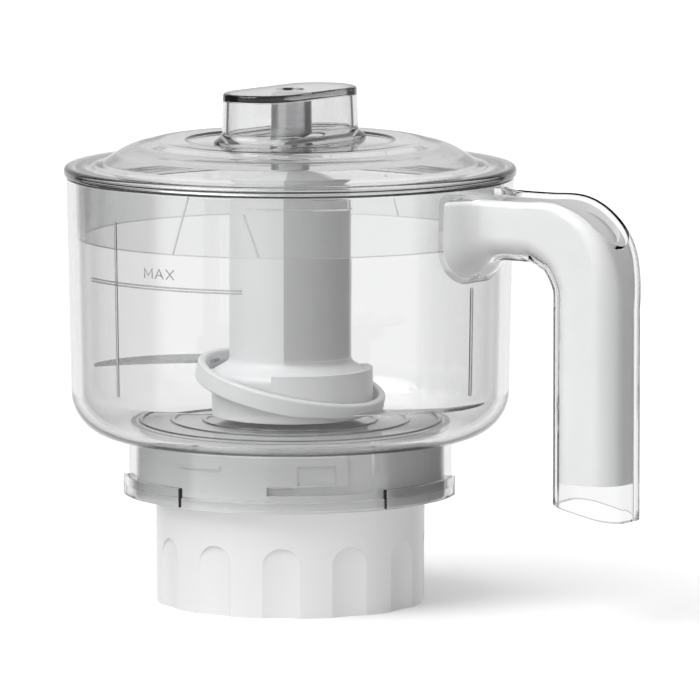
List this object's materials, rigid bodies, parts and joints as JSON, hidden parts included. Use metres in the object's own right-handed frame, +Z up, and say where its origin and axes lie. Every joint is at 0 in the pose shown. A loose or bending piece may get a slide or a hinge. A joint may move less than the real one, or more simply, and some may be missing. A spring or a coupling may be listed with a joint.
{
  "type": "food processor",
  "caption": "Clear domed-lid food processor bowl with a hollow side handle, steel S-blades on a white hub and a geared drive collar that sits on a motor base.",
  "frame": {"origin": "on the drive axis, in the plane of the collar's bottom edge, the mouth of the motor socket", "axes": "+Z up along the drive axis, +X towards the handle, +Y to the left of the handle seen from above with the handle pointing away"},
  "size_m": [0.2322, 0.1682, 0.191],
  "materials": {
    "clear_plastic": "clear moulded plastic, polished",
    "white_plastic": "satin white moulded plastic",
    "hub_plastic": "white moulded plastic",
    "gear_plastic": "acetal, as moulded",
    "blade_steel": "ground stainless steel",
    "shaft_steel": "turned steel",
    "bearing_bronze": "sintered bronze",
    "seal_rubber": "matt rubber"
  },
  "bodies": {
    "base": {"base_collar": "white_plastic", "gear_housing": "white_plastic", "housing_cover": "white_plastic", "socket_pad": "seal_rubber", "ring_gear": "gear_plastic", "input_bearing": "bearing_bronze", "output_bearing": "bearing_bronze", "shaft_seal": "seal_rubber", "housing_screws": "shaft_steel", "cover_screws": "shaft_steel"},
    "bowl": {"bowl": "clear_plastic", "neck_skirt": "clear_plastic", "bayonet_ring": "clear_plastic", "handle_shell": "clear_plastic", "handle_liner": "white_plastic", "column_bearing": "bearing_bronze"},
    "lid": {"lid": "clear_plastic", "lid_knob": "clear_plastic", "centre_pin": "shaft_steel"},
    "blade_unit": {"planet_carrier": "gear_plastic", "planet_pins": "shaft_steel", "spindle": "shaft_steel", "blade_hub": "hub_plastic", "blade_strap": "hub_plastic", "upper_blade": "blade_steel", "lower_blade": "blade_steel", "drive_socket": "gear_plastic", "hub_cap": "hub_plastic"},
    "input": {"drive_coupling": "gear_plastic", "input_shaft": "shaft_steel", "sun_gear": "shaft_steel", "input_circlip": "shaft_steel"},
    "planet_1": {"planet_gear_1": "gear_plastic"},
    "planet_2": {"planet_gear_2": "gear_plastic"},
    "planet_3": {"planet_gear_3": "gear_plastic"}
  },
  "joints": [
    {"name": "bowl_turn", "type": "hinge", "parent": "base", "child": "bowl", "pos_m": [0, 0, 0.0423], "axis": [0, 0, 1], "range_deg": [0, 30]},
    {"name": "lid_lift", "type": "slide", "parent": "bowl", "child": "lid", "axis": [0, 0, 1], "range_m": [0, 0.12]},
    {"name": "blade_spin", "type": "hinge", "parent": "base", "child": "blade_unit", "pos_m": [0, 0, 0.06], "axis": [0, 0, 1], "continuous": true},
    {"name": "input_spin", "type": "hinge", "parent": "base", "child": "input", "pos_m": [0, 0, 0.03], "axis": [0, 0, 1], "continuous": true},
    {"name": "planet_1_spin", "type": "hinge", "parent": "blade_unit", "child": "planet_1", "pos_m": [0.01875, 0, 0.0365], "axis": [0, 0, 1], "continuous": true},
    {"name": "planet_2_spin", "type": "hinge", "parent": "blade_unit", "child": "planet_2", "pos_m": [-0.00937, 0.01624, 0.0365], "axis": [0, 0, 1], "continuous": true},
    {"name": "planet_3_spin", "type": "hinge", "parent": "blade_unit", "child": "planet_3", "pos_m": [-0.00937, -0.01624, 0.0365], "axis": [0, 0, 1], "continuous": true}
  ],
  "couplings": [
    {"joint": "input_spin", "follows": "blade_spin", "ratio": 5},
    {"joint": "planet_1_spin", "follows": "blade_spin", "ratio": -2.6667},
    {"joint": "planet_2_spin", "follows": "blade_spin", "ratio": -2.6667},
    {"joint": "planet_3_spin", "follows": "blade_spin", "ratio": -2.6667}
  ]
}
